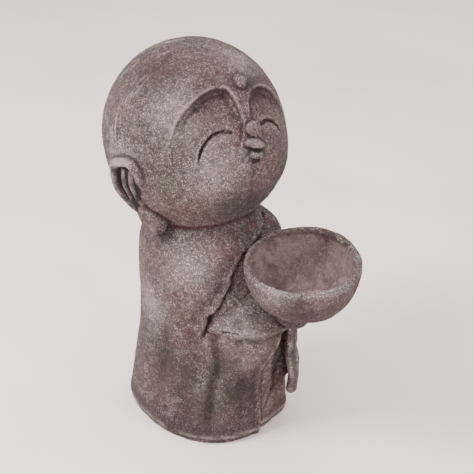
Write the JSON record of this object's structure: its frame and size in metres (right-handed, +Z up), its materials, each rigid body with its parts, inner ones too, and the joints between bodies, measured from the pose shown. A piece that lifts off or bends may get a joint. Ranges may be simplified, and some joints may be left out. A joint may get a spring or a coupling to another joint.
{
  "type": "stone jizo statue",
  "caption": "Cast stone figure of a round-headed child monk looking up and holding an open bowl in front of the chest, on a flat underside.",
  "frame": {"origin": "centre of the flat underside", "axes": "+Z up, the figure faces -Y, its left hand is towards +X"},
  "size_m": [0.197, 0.3008, 0.3995],
  "materials": {
    "stone": "matt cast stone, mauve grey brown, mottled with maroon and grey green, pale dry-brushed high spots and dark creases"
  },
  "bodies": {
    "root": {"jizo_statue": "stone"}
  },
  "joints": []
}
